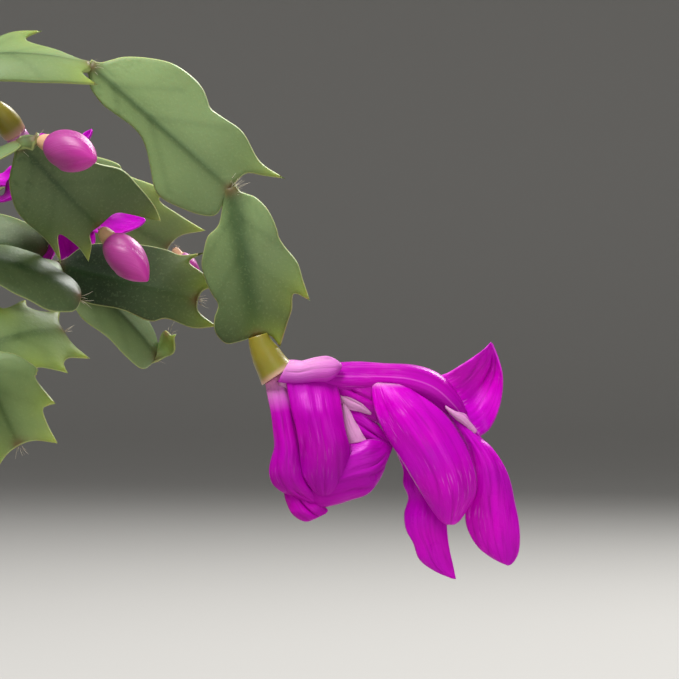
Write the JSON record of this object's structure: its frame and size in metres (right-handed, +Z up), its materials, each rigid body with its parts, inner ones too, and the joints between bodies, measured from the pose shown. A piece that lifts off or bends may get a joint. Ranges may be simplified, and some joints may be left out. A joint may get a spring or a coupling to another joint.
{
  "type": "potted thanksgiving cactus",
  "caption": "Houseplant in a clay pot: arching stems of flat toothed segments, with hanging magenta blooms and closed pink buds.",
  "frame": {"origin": "middle of the flat underside of the pot's foot, on the surface that the pot stands on", "axes": "+Z up along the pot's axis; +X towards the longest stem with its large hanging bloom, which is the right-hand side of the picture; +Y away from the picture's camera"},
  "size_m": [0.4245, 0.3764, 0.2469],
  "materials": {
    "clay": "matte, unglazed",
    "potting_mix": "loose and rough",
    "stem": "waxy satin",
    "petal": "silky",
    "ovary": "waxy satin",
    "stamen": "satin",
    "bud": "silky"
  },
  "bodies": {
    "root": {"bloom_01_ovary": "ovary", "bloom_01_petals": "petal", "bloom_02_ovary": "ovary", "bloom_02_petals": "petal", "bloom_03_ovary": "ovary", "bloom_03_petals": "petal", "bloom_04_ovary": "ovary", "bloom_04_petals": "petal", "bloom_04_stamens": "stamen", "bloom_05_ovary": "ovary", "bloom_05_petals": "petal", "bloom_06_ovary": "ovary", "bloom_06_petals": "petal", "bloom_06_stamens": "stamen", "bloom_07_ovary": "ovary", "bloom_07_petals": "petal", "bud_01": "bud", "bud_02": "bud", "bud_03": "bud", "bud_04": "bud", "bud_05": "bud", "bud_06": "bud", "bud_07": "bud", "bud_08": "bud", "bud_09": "bud", "bud_10": "bud", "bud_11": "bud", "bud_12": "bud", "bud_13": "bud", "pot": "clay", "potting_mix": "potting_mix", "stem_01": "stem", "stem_02": "stem", "stem_03": "stem", "stem_04": "stem", "stem_05": "stem", "stem_06": "stem", "stem_07": "stem", "stem_08": "stem", "stem_09": "stem", "stem_10": "stem", "stem_11": "stem", "stem_12": "stem", "stem_13": "stem", "stem_14": "stem", "stem_15": "stem", "stem_16": "stem", "stem_17": "stem", "stem_18": "stem", "stem_19": "stem", "stem_20": "stem", "stem_21": "stem", "stem_22": "stem"}
  },
  "joints": []
}
